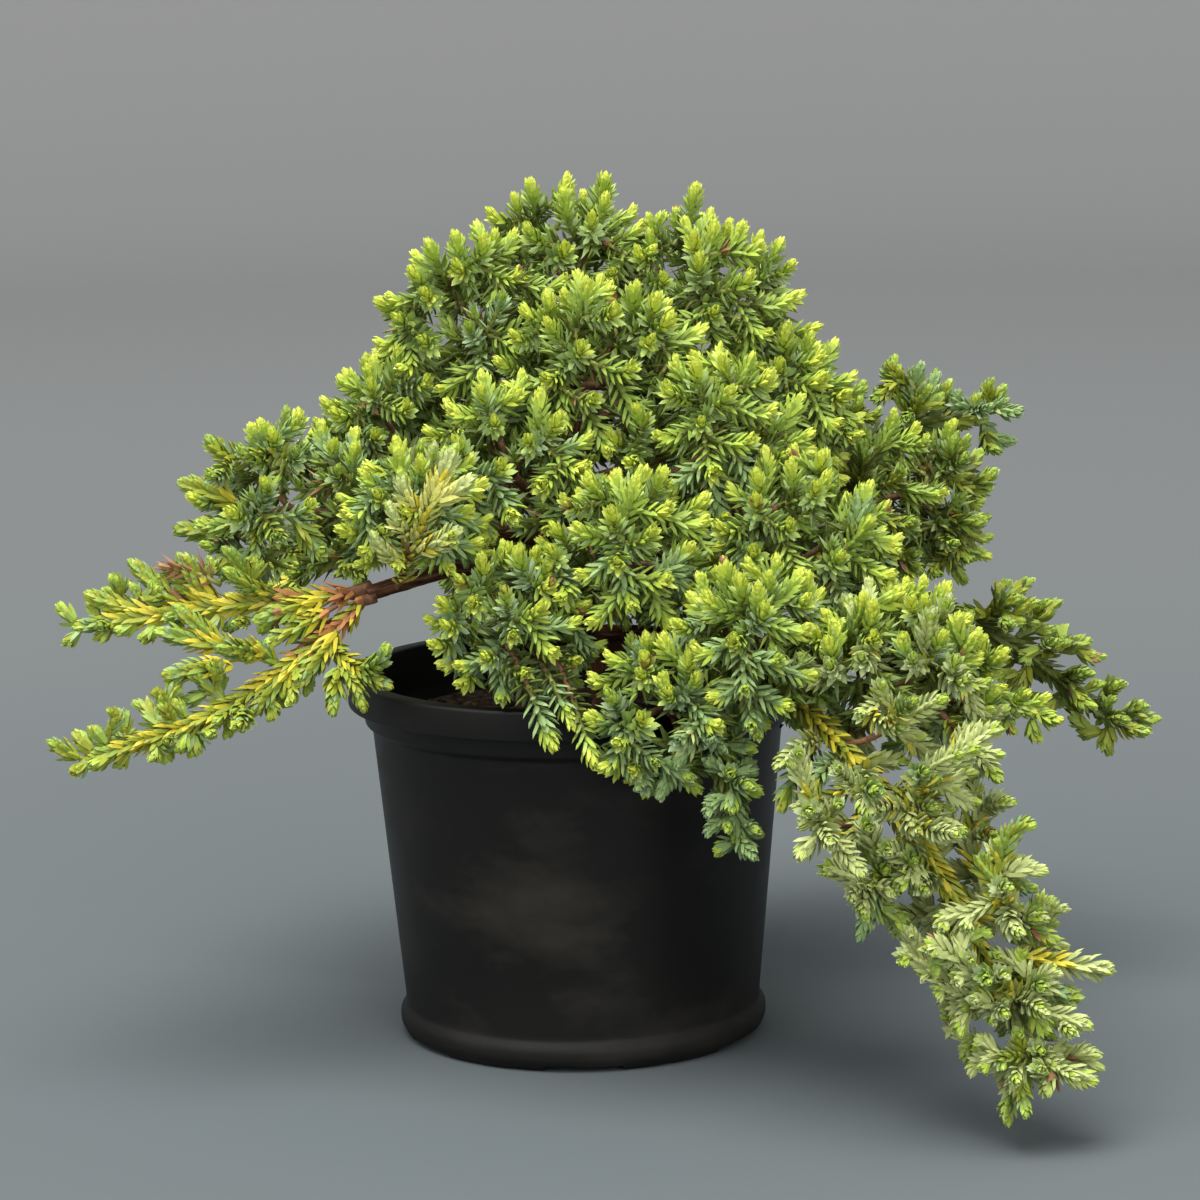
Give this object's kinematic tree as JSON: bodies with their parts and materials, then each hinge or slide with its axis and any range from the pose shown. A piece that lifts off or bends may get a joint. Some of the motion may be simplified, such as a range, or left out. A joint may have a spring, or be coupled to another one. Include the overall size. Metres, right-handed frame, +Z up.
{
  "type": "potted dwarf juniper",
  "caption": "Low spreading dwarf juniper with a domed crown, long side sprays and a drooping front spray, growing in a small round nursery pot.",
  "frame": {"origin": "middle of the flat underside of the pot, on the surface that it stands on", "axes": "+Z up along the pot's axis; -Y towards the side that the drooping spray hangs on, the side seen in the picture; +X towards the side with the lower right sprays"},
  "size_m": [0.2684, 0.2433, 0.2095],
  "materials": {
    "pot_plastic": "thin satin black moulded plastic with dust and water marks",
    "potting_mix": "dark moist mix of fine bark and fibre",
    "bark": "thin reddish brown flaking bark",
    "needles": "stiff short needles, lime at the tips and blue green below"
  },
  "bodies": {
    "root": {"pot": "pot_plastic", "potting_mix": "potting_mix", "trunk": "bark", "bough_left": "bark", "bough_left_upper": "bark", "bough_front_left": "bark", "bough_front": "bark", "bough_front_low": "bark", "bough_front_right": "bark", "bough_right_low": "bark", "bough_right_front": "bark", "bough_right": "bark", "bough_right_back": "bark", "bough_back_right_upper": "bark", "bough_back_upper": "bark", "bough_back_left_upper": "bark", "bough_back_right": "bark", "bough_back": "bark", "bough_back_left": "bark", "crown_front": "needles", "crown_left": "needles", "crown_back": "needles", "crown_right": "needles", "dome_left": "needles", "dome_right": "needles", "dome_front_left": "needles", "dome_front_right": "needles", "dome_back": "needles", "dome_back_left": "needles", "dome_back_right": "needles", "front_centre": "needles", "front_right": "needles", "front_left": "needles", "front_low": "needles", "front_mid": "needles", "right_front": "needles", "left_middle": "needles", "left_near": "needles", "right_back": "needles", "back_low_left": "needles", "back_low_right": "needles", "spray_left_low": "needles", "spray_left_high": "needles", "spray_droop": "needles", "spray_hang": "needles", "spray_right_small": "needles", "spray_right_high": "needles", "spray_right_low": "needles", "spray_back_right": "needles", "spray_back": "needles", "spray_back_left": "needles"}
  },
  "joints": []
}
